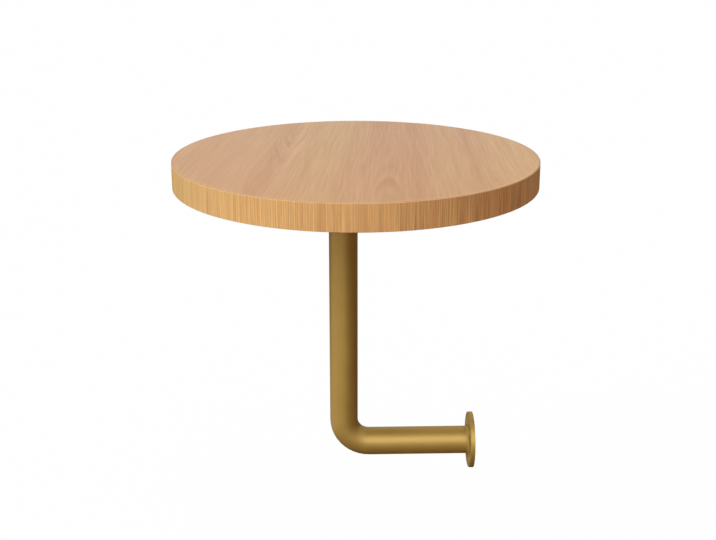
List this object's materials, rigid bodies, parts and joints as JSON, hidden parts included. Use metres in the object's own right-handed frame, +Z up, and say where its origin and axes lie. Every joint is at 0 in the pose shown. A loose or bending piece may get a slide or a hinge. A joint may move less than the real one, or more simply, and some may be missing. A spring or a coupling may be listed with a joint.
{
  "type": "round wall table",
  "caption": "Round wooden table top carried on a bent gold tube with a wall flange, for fixing to a low wall or bench front.",
  "frame": {"origin": "centre of the wall flange's back face, on the arm's axis", "axes": "+X into the wall along the arm, +Z up, +Y along the wall"},
  "size_m": [0.6, 0.6, 0.5622],
  "materials": {
    "oak_face_veneer": "matt lacquered oak veneer, grain along Y",
    "oak_edge_band": "matt lacquered oak strip, grain upright",
    "oak_backing_veneer": "plain sanded oak veneer",
    "plywood_core": "birch plywood",
    "gold_coated_steel": "satin gold metallic coating",
    "zinc_plated_steel": "bright zinc plated"
  },
  "bodies": {
    "root": {"top_face_veneer": "oak_face_veneer", "upper_core_board": "plywood_core", "lower_core_board": "plywood_core", "underside_veneer": "oak_backing_veneer", "edge_band": "oak_edge_band", "threaded_inserts": "zinc_plated_steel", "mounting_plate": "gold_coated_steel", "plate_weld": "gold_coated_steel", "plate_washers": "zinc_plated_steel", "plate_screws": "zinc_plated_steel", "leg_tube": "gold_coated_steel", "flange_weld": "gold_coated_steel", "wall_flange": "gold_coated_steel"}
  },
  "joints": []
}
